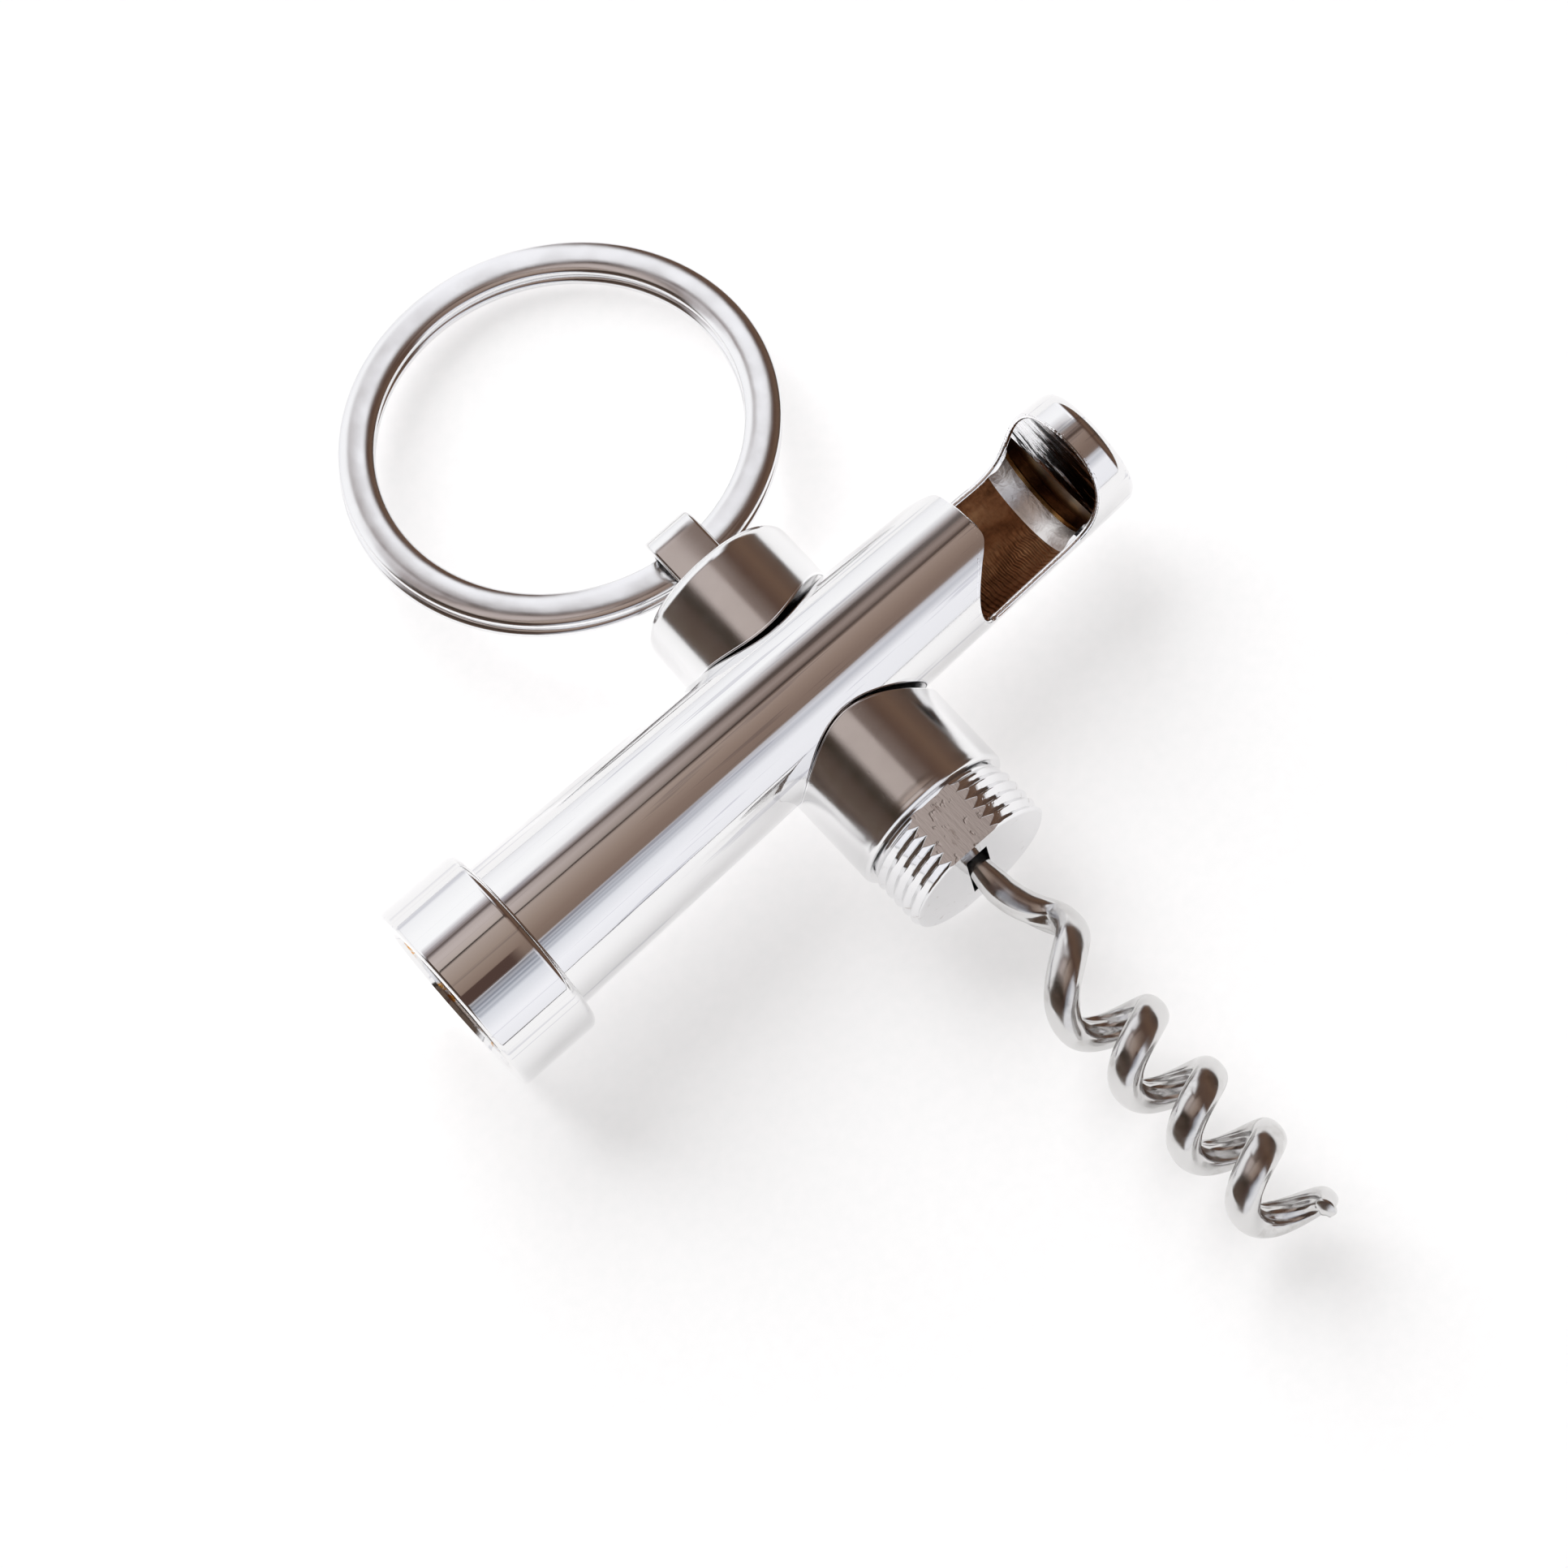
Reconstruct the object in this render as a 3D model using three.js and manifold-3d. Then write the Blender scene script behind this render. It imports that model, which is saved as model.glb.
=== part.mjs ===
// Pocket corkscrew for a key ring: a tapered sheath with a bottle opener milled in its
// closed end, and a threaded head that carries the worm and grips the sheath in a saddle,
// so that the sheath is the T handle. The head's stud screws into the sheath's collar when
// the worm is stored.
//
// Millimetres. The sheath's axis is X (opener end +X), the head's axis is along Y
// (worm -Y, key ring +Y) and Z is up. Everything is drawn about the point where the head
// crosses the sheath's axis, and the finished group is then stood on Z = 0.

import * as THREE from 'three';
import { mergeVertices } from 'three/addons/utils/BufferGeometryUtils.js';
import Module from 'manifold-3d';

const wasm = await Module();
wasm.setup();

// ---- driving dimensions ----
const ROUND = 48; // segments round a turned piece

const SHEATH = {
  radius: 6.45, // outer radius where the head sits
  taper: 0.0279, // radius lost per mm towards the opener
  wall: 0.55,
  mouthEnd: -32.7, // open end, inside the collar
  tip: 31.15, // closed end
  tipRound: 1.2,
  boreEnd: 26.4,
  ledge: { from: 23.2, to: 23.6, drop: 0.25 }, // the bore narrows before the closed end (depth guessed)
};

const MOUTH = { roll: -14, skew: 0.06 }; // degrees about the tube; x lost per mm of y

const COLLAR = { radius: 9.18, from: -39.3, to: -31.4, edge: 0.8, clearance: 0.3 };

const HEAD = {
  radius: 7.4,
  drop: 2.64, // how far its axis lies below the sheath's axis
  capEnd: 13.3,
  capRound: 1.1,
  saddleRadius: 6.8,
  flange: -14.25, // where the cylinder ends in a bead
  threadFrom: -15.3,
  studEnd: -20.43,
  shankHole: 1.75,
  shankHoleDepth: 7,
  flatHeight: 6.28, // the two moulded flats on the thread, from the head's axis
};

const THREAD = { radius: 6.98, depth: 0.55, pitch: 1.0 };

const WORM = {
  wire: 1.35, // radius of the wire
  coil: 2.75, // radius of the wire's centre line
  offset: -0.75, // how far the coil's axis lies off the head's axis, in X
  firstCrest: -28.8,
  firstHalfTurn: 6.5,
  pitch: 7.0,
  turns: 4.15,
  shankIn: 5.5, // length of shank inside the stud
};

const BAIL = { width: 4.6, height: 8.2, strap: 1.05, end: 19.0, corner: 1.6, gap: 0.3 };

const RING = {
  middle: 17.4, // radius of the wire's centre line
  width: 3.2,
  wire: 1.0,
  lift: 1.2, // pitch between the two turns
  hinge: [-0.1, 15.8, -2.1], // where the ring passes through the bail
  normal: [0.107, 0.17, 0.98],
  endAngle: 277, // where the wire's ends lie, degrees round from +X
  jog: 14, // degrees over which the wire steps from one turn to the other
};

// ---- helpers ----
const sheathRadius = (x) => SHEATH.radius - SHEATH.taper * x;

// Shares coincident vertices, drops empty triangles and makes the faces point out.
function closed(source) {
  const plain = source.clone();
  plain.deleteAttribute('normal');
  plain.deleteAttribute('uv');
  const geometry = mergeVertices(plain, 1e-4);
  const position = geometry.attributes.position;
  const [a, b, c] = [new THREE.Vector3(), new THREE.Vector3(), new THREE.Vector3()];
  const index = [];
  let volume = 0;
  for (let i = 0; i < geometry.index.count; i += 3) {
    const [p, q, r] = [0, 1, 2].map((k) => geometry.index.getX(i + k));
    if (p === q || q === r || r === p) continue;
    index.push(p, q, r);
    a.fromBufferAttribute(position, p);
    b.fromBufferAttribute(position, q);
    c.fromBufferAttribute(position, r);
    volume += a.dot(b.cross(c));
  }
  geometry.setIndex(volume < 0 ? index.reverse() : index);
  geometry.computeVertexNormals();
  return geometry;
}

function cut(body, ...tools) {
  const solids = [body, ...tools].map((source) => {
    const g = closed(source);
    return new wasm.Manifold(new wasm.Mesh({
      numProp: 3,
      vertProperties: Float32Array.from(g.attributes.position.array),
      triVerts: Uint32Array.from(g.index.array),
    }));
  });
  const result = solids.slice(1).reduce((left, tool) => left.subtract(tool), solids[0]);
  const mesh = result.getMesh();
  const geometry = new THREE.BufferGeometry();
  geometry.setAttribute('position', new THREE.BufferAttribute(mesh.vertProperties, 3));
  geometry.setIndex(new THREE.BufferAttribute(mesh.triVerts, 1));
  geometry.computeVertexNormals();
  return geometry;
}

// A turned piece: profile points are [radius, place along the axis].
function turned(profile, segments = ROUND) {
  const points = profile.map(([radius, along]) => new THREE.Vector2(radius, along));
  return new THREE.LatheGeometry(points, segments);
}

// Points of a quarter round from angle `from` to `to` (degrees) about [radius, along].
function arc(centre, radius, from, to, steps = 4) {
  return Array.from({ length: steps + 1 }, (_, i) => {
    const angle = THREE.MathUtils.degToRad(from + ((to - from) * i) / steps);
    return [centre[0] + radius * Math.cos(angle), centre[1] + radius * Math.sin(angle)];
  });
}

// Crests and roots of a thread between two places, as a turned profile.
function threadProfile(crest, root, from, to, pitch) {
  const points = [];
  const step = pitch * Math.sign(to - from);
  const count = Math.floor(Math.abs(to - from) / pitch);
  for (let i = 0; i < count; i += 1) {
    const start = from + i * step;
    points.push([root, start], [crest, start + 0.4 * step], [crest, start + 0.6 * step]);
  }
  points.push([root, from + count * step]);
  return points;
}

// A wire of constant section swept along a curve.
function wire(curve, section, steps) {
  return new THREE.ExtrudeGeometry(section, { steps, extrudePath: curve, bevelEnabled: false });
}

function circleShape(radius, sides) {
  const shape = new THREE.Shape();
  for (let i = 0; i < sides; i += 1) {
    const angle = (2 * Math.PI * i) / sides;
    const [x, y] = [radius * Math.cos(angle), radius * Math.sin(angle)];
    if (i === 0) shape.moveTo(x, y);
    else shape.lineTo(x, y);
  }
  shape.closePath();
  return shape;
}

const part = new THREE.Group();

function add(name, geometry, { color, roughness, metalness = 1 }) {
  const material = new THREE.MeshStandardMaterial({ color, roughness, metalness });
  const mesh = new THREE.Mesh(closed(geometry), material);
  mesh.name = name;
  part.add(mesh);
  return mesh;
}

const CHROME = { color: 0xd9d8d6, roughness: 0.08 };
const STEEL = { color: 0xc4c2be, roughness: 0.2 };

// ---- sheath: a tapered, closed tube with the bottle opener's mouth ----
function sheathProfile() {
  const { wall, mouthEnd, tip, tipRound, boreEnd, ledge } = SHEATH;
  const shoulder = sheathRadius(tip) - tipRound;
  const bore = (x) => sheathRadius(x) - wall;
  return [
    [0, tip],
    ...arc([shoulder, tip - tipRound], tipRound, 90, 0),
    [sheathRadius(mouthEnd), mouthEnd],
    [bore(mouthEnd), mouthEnd],
    [bore(ledge.from), ledge.from],
    [bore(ledge.to) - ledge.drop, ledge.to],
    [bore(ledge.to) - ledge.drop, boreEnd],
    [0, boreEnd],
  ];
}

// The mouth is cut across the tube by a cutter that leans: rolled about the tube's axis and a
// little askew along it. Outline seen along the cutter, [x, z]: an overhanging front lip, a
// floor and the hook.
function mouthCutter() {
  const depth = 16;
  const outline = new THREE.Shape();
  outline.moveTo(17.85, 9);
  outline.lineTo(17.85, 5.35);
  outline.lineTo(17.3, 4.8);
  outline.lineTo(16.2, 4.15);
  outline.quadraticCurveTo(13.5, 2.3, 13.5, 0.1);
  outline.quadraticCurveTo(13.5, -1.75, 15.0, -1.75);
  outline.lineTo(21.5, -1.75);
  outline.quadraticCurveTo(25.0, -1.7, 26.2, 0.0);
  outline.quadraticCurveTo(27.9, 2.2, 28.3, 5.2);
  outline.lineTo(28.6, 9);
  outline.closePath();
  const cutter = new THREE.ExtrudeGeometry(outline, { depth, bevelEnabled: false, curveSegments: 5 });
  cutter.rotateX(Math.PI / 2);
  cutter.translate(0, depth / 2, 0);
  const skew = new THREE.Matrix4().set(1, -MOUTH.skew, 0, 0, 0, 1, 0, 0, 0, 0, 1, 0, 0, 0, 0, 1);
  cutter.applyMatrix4(skew);
  return cutter.rotateX(THREE.MathUtils.degToRad(MOUTH.roll));
}

function alongX(geometry) {
  return geometry.rotateZ(-Math.PI / 2);
}

const sheath = cut(alongX(turned(sheathProfile())), mouthCutter());
add('sheath_tube', sheath, CHROME);

// ---- collar: internally threaded ring on the sheath's open end ----
function collarProfile() {
  const { radius, from, to, edge, clearance } = COLLAR;
  const socket = sheathRadius(SHEATH.mouthEnd) + clearance;
  const stop = SHEATH.mouthEnd - clearance;
  const bore = THREAD.radius + 0.1;
  const outer = [
    [bore, from],
    ...arc([radius - edge / 2, from + edge / 2], edge / 2, -90, 0, 3),
    ...arc([radius - edge, to - edge], edge, 0, 90),
    [socket, to],
    [socket, stop],
  ];
  const thread = threadProfile(bore - THREAD.depth, bore, stop - 0.8, from + 0.6, THREAD.pitch);
  return [...outer, [bore, stop], ...thread, [bore, from]];
}

add('threaded_collar', alongX(turned(collarProfile())), CHROME);

// ---- head: saddle, flange and threaded stud ----
function headProfile() {
  const { radius, capEnd, capRound, flange, threadFrom, studEnd } = HEAD;
  const root = THREAD.radius - THREAD.depth;
  return [
    [0, studEnd],
    [root, studEnd],
    ...threadProfile(THREAD.radius, root, studEnd + 0.1, threadFrom, THREAD.pitch),
    [root, flange - 0.75],
    ...arc([radius - 0.4, flange - 0.35], 0.4, -90, 0, 3),
    [radius, capEnd - capRound],
    ...arc([radius - capRound, capEnd - capRound], capRound, 0, 90),
    [0, capEnd],
  ];
}

function headCutters() {
  const { drop, saddleRadius, radius, flange, studEnd, flatHeight, shankHole, shankHoleDepth } = HEAD;
  const saddle = new THREE.CylinderGeometry(saddleRadius, saddleRadius, 4 * radius, ROUND);
  saddle.rotateZ(Math.PI / 2).translate(0, 0, drop);
  const flats = [1, -1].map((side) => {
    const length = flange - 0.9 - studEnd + 1;
    const slab = new THREE.BoxGeometry(3 * radius, length, 4);
    return slab.translate(0, studEnd - 1 + length / 2, side * (flatHeight + 2));
  });
  const hole = new THREE.CylinderGeometry(shankHole, shankHole, 2 * shankHoleDepth, 20);
  hole.translate(0, studEnd, 0);
  return [saddle, ...flats, hole];
}

const head = add('corkscrew_head', cut(turned(headProfile()), ...headCutters()), CHROME);
head.position.z = -HEAD.drop;

// ---- worm: a shank that swings out of the stud into a right-handed helix ----
class WormCurve extends THREE.Curve {
  constructor() {
    super();
    const { coil, offset, firstCrest, shankIn, turns } = WORM;
    const start = HEAD.studEnd + shankIn;
    const swing = new THREE.Vector3(offset + coil, firstCrest, 0);
    this.shank = new THREE.CatmullRomCurve3([
      new THREE.Vector3(0, start, 0),
      new THREE.Vector3(0, HEAD.studEnd - 0.5, 0),
      new THREE.Vector3(0.1, HEAD.studEnd - 4.2, -1.1),
      new THREE.Vector3(1.2, firstCrest + 1.6, -1.5),
      swing,
    ]);
    this.shankShare = 0.14;
    this.angle = 2 * Math.PI * turns;
  }

  getPoint(t, target = new THREE.Vector3()) {
    if (t < this.shankShare) return this.shank.getPoint(t / this.shankShare, target);
    const { coil, offset, firstCrest, firstHalfTurn, pitch } = WORM;
    const angle = ((t - this.shankShare) / (1 - this.shankShare)) * this.angle;
    const halfTurns = angle / Math.PI;
    const fall = halfTurns < 1
      ? halfTurns * firstHalfTurn
      : firstHalfTurn + (halfTurns - 1) * (pitch / 2);
    return target.set(
      offset + coil * Math.cos(angle),
      firstCrest - fall,
      coil * Math.sin(angle),
    );
  }
}

const WORM_STEPS = 84;
const worm = wire(new WormCurve(), circleShape(WORM.wire, 8), WORM_STEPS);
add('worm', worm, STEEL).position.z = -HEAD.drop;

// ---- bail: a strap bent into a staple on the head's end ----
function bailOutline(inset, start) {
  const { height, corner, end } = BAIL;
  const [top, right] = [height / 2 - inset, end - inset];
  const round = corner - inset;
  return [
    [start, -top],
    ...arc([right - round, round - top], round, -90, 0),
    ...arc([right - round, top - round], round, 0, 90),
    [start, top],
  ];
}

function bailGeometry() {
  const start = HEAD.capEnd + BAIL.gap;
  const loop = [...bailOutline(0, start), ...bailOutline(BAIL.strap, start).reverse()];
  const shape = new THREE.Shape(loop.map(([y, z]) => new THREE.Vector2(y, z)));
  const strap = new THREE.ExtrudeGeometry(shape, { depth: BAIL.width, bevelEnabled: false });
  // Shape (x, y, depth) becomes (depth, x, y), which is a turn and keeps the faces out.
  const turn = new THREE.Matrix4().makeBasis(
    new THREE.Vector3(0, 1, 0), new THREE.Vector3(0, 0, 1), new THREE.Vector3(1, 0, 0),
  );
  return strap.applyMatrix4(turn).translate(-BAIL.width / 2, 0, 0);
}

add('ring_bail', bailGeometry(), CHROME).position.z = -HEAD.drop;

// ---- key ring: two stacked turns of flat wire ----
class RingCurve extends THREE.Curve {
  getPoint(t, target = new THREE.Vector3()) {
    const { middle, lift, endAngle, jog } = RING;
    const swept = t * (720 - jog);
    const angle = THREE.MathUtils.degToRad(endAngle + swept);
    const down = THREE.MathUtils.smoothstep(swept, 360 - jog, 360);
    return target.set(middle * Math.cos(angle), middle * Math.sin(angle), lift * (0.5 - down));
  }
}

const ringSection = new THREE.Shape();
ringSection.moveTo(-RING.wire / 2, -RING.width / 2);
ringSection.lineTo(RING.wire / 2, -RING.width / 2);
ringSection.lineTo(RING.wire / 2, RING.width / 2);
ringSection.lineTo(-RING.wire / 2, RING.width / 2);
ringSection.closePath();

const RING_STEPS = 90;
const ring = add('split_ring', wire(new RingCurve(), ringSection, RING_STEPS), STEEL);
const normal = new THREE.Vector3(...RING.normal).normalize();
const tangent = new THREE.Vector3(normal.z, 0, -normal.x).normalize();
const outward = new THREE.Vector3().crossVectors(normal, tangent);
ring.quaternion.setFromRotationMatrix(new THREE.Matrix4().makeBasis(tangent, outward, normal));
ring.position.set(...RING.hinge).addScaledVector(outward, RING.middle);

// ---- stand the whole thing on Z = 0, centred over the origin ----
const bounds = new THREE.Box3().setFromObject(part, true);
const centre = bounds.getCenter(new THREE.Vector3());
part.position.set(-centre.x, -centre.y, -bounds.min.z);

export default part;
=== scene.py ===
"""Looks of a key-ring corkscrew: a plated sheath with a bottle opener is the T handle, held in
the saddle of a threaded head that carries the worm, with a split ring in the head's bail.

Pieces are drawn in millimetres about ORIGIN, the point where the head crosses the sheath's
axis: the sheath runs along X (opener +X), the worm points to -Y, the key ring is at +Y.
"""
import math
import random

import bpy
import numpy as np
from mathutils import Matrix, Vector
from mathutils.bvhtree import BVHTree
from mathutils.interpolate import poly_3d_calc


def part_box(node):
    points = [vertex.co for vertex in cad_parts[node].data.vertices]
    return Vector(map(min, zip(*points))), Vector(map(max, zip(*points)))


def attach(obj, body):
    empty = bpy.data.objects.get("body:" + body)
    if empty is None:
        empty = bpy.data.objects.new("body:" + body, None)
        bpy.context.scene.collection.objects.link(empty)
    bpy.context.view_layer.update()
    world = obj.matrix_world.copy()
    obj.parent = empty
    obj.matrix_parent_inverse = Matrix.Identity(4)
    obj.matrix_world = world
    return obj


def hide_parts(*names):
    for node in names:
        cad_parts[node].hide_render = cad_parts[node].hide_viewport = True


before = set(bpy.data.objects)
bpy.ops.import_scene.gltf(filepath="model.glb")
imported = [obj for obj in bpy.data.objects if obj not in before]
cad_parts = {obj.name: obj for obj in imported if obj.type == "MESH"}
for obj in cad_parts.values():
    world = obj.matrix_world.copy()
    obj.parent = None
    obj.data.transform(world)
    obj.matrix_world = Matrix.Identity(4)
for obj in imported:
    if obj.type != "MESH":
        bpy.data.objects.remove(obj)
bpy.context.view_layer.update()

random.seed(7)

# ---- driving dimensions, in millimetres ----
MM = 0.001
collar_low, collar_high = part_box("threaded_collar")
head_low, head_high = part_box("corkscrew_head")
sheath_low, sheath_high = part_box("sheath_tube")
ring_low, ring_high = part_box("split_ring")
ORIGIN = Vector((
    (head_low.x + head_high.x) / 2,
    (collar_low.y + collar_high.y) / 2,
    (collar_low.z + collar_high.z) / 2,
))
FLOOR = 0.0


def local(point):
    """A point of the frame in millimetres from ORIGIN."""
    return (Vector(point) - ORIGIN) / MM


SHEATH_RADIUS = 6.45  # where the head sits
TAPER = 0.0279  # radius lost per mm towards the opener
WALL = 0.55
MOUTH_END = local(sheath_low).x
TIP = local(sheath_high).x
TIP_ROUND = 1.2
BORE_END = 26.4
LEDGE = (23.3, 25.5)  # where the bore narrows, judged
LEDGE_DROP = 0.22  # a guess: the photo looks straight down on it
MOUTH_ROLL = math.radians(-14)  # the mouth's cutter leans about the tube's axis...
MOUTH_SKEW = 0.06  # ...and runs a little askew along it

COLLAR_RADIUS = (collar_high.z - collar_low.z) / 2 / MM
COLLAR_FROM = local(collar_low).x
COLLAR_TO = local(collar_high).x

HEAD_RADIUS = (head_high.x - head_low.x) / 2 / MM
HEAD_Z = local(head_low).z + HEAD_RADIUS
CAP_END = local(head_high).y
STUD_END = local(head_low).y
CAP_ROUND = 1.1
FLANGE = -14.25
RELIEF = FLANGE - 0.8  # where the thread's relief groove lies
SADDLE_RADIUS = (6.69, 6.92)  # at the head's collar side and at its opener side
THREAD_CREST = 6.98
THREAD_DEPTH = 0.38  # shallower than the CAD's, so that it reflects more like the photo
THREAD_PITCH = 1.0
FLAT_HEIGHT = 6.28  # the two moulded flats on the stud, from the head's axis
SLOT = (1.1, 4.1)  # half the width and height of the slot in the stud's end

RING_MIDDLE = 17.4
RING_NORMAL = Vector((0.107, 0.17, 0.98)).normalized()
RING_HINGE = Vector((-0.1, 15.8, -2.1))
RING_END_ANGLE = 277
RING_JOG = 14
RING_LIFT = 1.16

FINE = 160  # segments round a turned piece
SHARP = math.radians(32)


# ---- mesh helpers: a Solid is plain arrays in millimetres ----
class Solid:
    """Vertices, faces, one normal for each face corner and one material slot for each face."""

    def __init__(self, verts, faces, normals=None, slots=None):
        self.verts = np.array(verts, float).reshape(-1, 3)
        self.faces = [tuple(int(i) for i in f) for f in faces]
        self.normals = normals
        self.slots = slots or [0] * len(self.faces)

    def mesh(self):
        mesh = bpy.data.meshes.new("work")
        mesh.from_pydata(self.verts.tolist(), [], self.faces)
        mesh.update()
        if self.normals is not None:
            set_normals(mesh, self.normals)
        return mesh

    def centres(self):
        return np.array([self.verts[list(f)].mean(0) for f in self.faces])

    def paint(self, choose):
        """Gives each face the slot that choose(centre, normal) returns; None leaves it."""
        for i, (centre, face) in enumerate(zip(self.centres(), self.faces)):
            a, b, c = self.verts[face[0]], self.verts[face[1]], self.verts[face[2]]
            slot = choose(centre, np.cross(b - a, c - a))
            if slot is not None:
                self.slots[i] = slot
        return self

    def moved(self, offset):
        self.verts = self.verts + np.array(offset, float)
        return self


def set_normals(mesh, normals):
    mesh.normals_split_custom_set([tuple(n) for n in normals])


def from_mesh(mesh, slots=None):
    verts = [v.co[:] for v in mesh.vertices]
    faces = [tuple(p.vertices) for p in mesh.polygons]
    normals = [tuple(n.vector) for n in mesh.corner_normals]
    return Solid(verts, faces, normals, slots)


def smooth(verts, faces, angle=SHARP):
    """A solid whose faces shade smoothly except across edges sharper than angle."""
    mesh = Solid(verts, faces).mesh()
    work = bpy.data.objects.new("work", mesh)
    bpy.context.scene.collection.objects.link(work)
    weld = work.modifiers.new("weld", "WELD")
    weld.merge_threshold = 1e-4
    mesh = evaluated(work)
    mesh.shade_smooth()
    mesh.set_sharp_from_angle(angle=angle)
    return from_mesh(mesh)


def evaluated(work):
    """The object's mesh with its modifiers applied; the object is removed."""
    graph = bpy.context.evaluated_depsgraph_get()
    mesh = bpy.data.meshes.new_from_object(work.evaluated_get(graph))
    bpy.data.objects.remove(work)
    return mesh


def carve(solid, *cutters):
    """Cuts away the cutters; what is left of the first solid's surface keeps its normals."""
    source = solid.mesh()
    work = bpy.data.objects.new("work", source)
    bpy.context.scene.collection.objects.link(work)
    tools = []
    for cutter in cutters:
        tool = bpy.data.objects.new("tool", cutter.mesh())
        bpy.context.scene.collection.objects.link(tool)
        cut = work.modifiers.new("cut", "BOOLEAN")
        cut.operation, cut.solver, cut.object = "DIFFERENCE", "EXACT", tool
        tools.append(tool)
    mesh = evaluated(work)
    for tool in tools:
        bpy.data.objects.remove(tool)
    mesh.shade_smooth()
    mesh.set_sharp_from_angle(angle=SHARP)
    result = from_mesh(mesh)
    result.fresh = keep_normals(result, mesh, source)
    return result


def keep_normals(result, mesh, source):
    """Copies the source's normals where result still lies on it; returns which faces don't."""
    corners = [list(source.polygons[i].vertices) for i in range(len(source.polygons))]
    places = [v.co.copy() for v in source.vertices]
    shading = [Vector(n.vector) for n in source.corner_normals]
    tree = BVHTree.FromPolygons(places, corners)
    fresh = []
    for face in mesh.polygons:
        _, normal, index, distance = tree.find_nearest(face.center)
        fresh.append(distance > 2e-3 or normal.dot(face.normal) < 0.9)
        if fresh[-1]:
            continue
        outline = [places[i] for i in corners[index]]
        start = source.polygons[index].loop_start
        for loop in face.loop_indices:
            place = mesh.vertices[mesh.loops[loop].vertex_index].co
            weights = poly_3d_calc(outline, place)
            blend = sum((shading[start + k] * w for k, w in enumerate(weights)), Vector())
            if blend.length > 1e-6:
                result.normals[loop] = tuple(blend.normalized())
    return fresh


def joined(*solids):
    verts, faces, normals, slots, base = [], [], [], [], 0
    for s in solids:
        verts.append(s.verts)
        faces += [tuple(i + base for i in f) for f in s.faces]
        normals += list(s.normals)
        slots += s.slots
        base += len(s.verts)
    return Solid(np.vstack(verts), faces, normals, slots)


def turned(profile, axis, segments=FINE):
    """Turns a closed profile of (place along axis, radius) round the X or Y axis."""
    angle = np.linspace(0, 2 * math.pi, segments, endpoint=False)
    verts = []
    for along, radius in profile:
        side, up = radius * np.sin(angle), radius * np.cos(angle)
        full = np.full(segments, along)
        verts += list(zip(full, side, up) if axis == "X" else zip(side, full, up))
    count, faces = len(profile), []
    for i in range(count):
        j = (i + 1) % count
        if profile[i][1] == 0 and profile[j][1] == 0:
            continue
        for k in range(segments):
            m = (k + 1) % segments
            faces.append((i * segments + k, i * segments + m, j * segments + m, j * segments + k))
    return outward(smooth(verts, faces))


def outward(solid):
    """Flips the faces if they point in."""
    volume = 0.0
    for face in solid.faces:
        a, b, c = (solid.verts[i] for i in (face[0], face[1], face[-1]))
        volume += float(np.dot(a, np.cross(b, c)))
    if volume > 0:
        return solid
    normals, start = [], 0
    for face in solid.faces:
        corner = solid.normals[start:start + len(face)]
        normals += [tuple(-x for x in n) for n in reversed(corner)]
        start += len(face)
    return Solid(solid.verts, [tuple(reversed(f)) for f in solid.faces], normals, solid.slots)


def arc(centre, radius, start, end, steps=10):
    """Points of an arc about centre, angles in degrees."""
    return [
        (centre[0] + radius * math.cos(a), centre[1] + radius * math.sin(a))
        for a in np.radians(np.linspace(start, end, steps + 1))
    ]


def quadratic(a, b, c, steps=14):
    a, b, c = (np.array(p, float) for p in (a, b, c))
    return [
        tuple((1 - t) ** 2 * a + 2 * t * (1 - t) * b + t * t * c)
        for t in np.linspace(0, 1, steps + 1)
    ]


def resample(points, step):
    """The same polyline with even steps of about that length."""
    points = np.array(points, float)
    length = np.r_[0, np.cumsum(np.linalg.norm(np.diff(points, axis=0), axis=1))]
    places = np.linspace(0, length[-1], max(3, int(length[-1] / step)) + 1)
    return np.stack([np.interp(places, length, points[:, k]) for k in range(points.shape[1])], 1)


def prism(outline, depth):
    """An outline of (x, z) points, extruded along Y by depth to both sides."""
    count = len(outline)
    verts = [(x, side * depth, z) for side in (-1, 1) for x, z in outline]
    faces = [tuple(range(count)), tuple(reversed(range(count, 2 * count)))]
    faces += [(i, i + count, (i + 1) % count + count, (i + 1) % count) for i in range(count)]
    return outward(smooth(verts, faces))


def block(low, high):
    (x0, y0, z0), (x1, y1, z1) = low, high
    return prism([(x0, z0), (x1, z0), (x1, z1), (x0, z1)], (y1 - y0) / 2).moved(
        (0, (y0 + y1) / 2, 0))


def swept(path, frames, section, is_closed=False):
    """Sweeps section(i), points of (side, up), along path with its (side, up) directions."""
    rows = [np.array(section(i), float) for i in range(len(path))]
    count = len(rows[0])
    verts = []
    for place, (side, up), row in zip(path, frames, rows):
        verts += [np.array(place) + p[0] * np.array(side) + p[1] * np.array(up) for p in row]
    faces, total = [], len(path)
    for i in range(total if is_closed else total - 1):
        j = (i + 1) % total
        for k in range(count):
            m = (k + 1) % count
            faces.append((i * count + k, i * count + m, j * count + m, j * count + k))
    if not is_closed:
        faces.append(tuple(reversed(range(count))))
        faces.append(tuple(range((total - 1) * count, total * count)))
    return outward(smooth(verts, faces, math.radians(50)))


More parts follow.
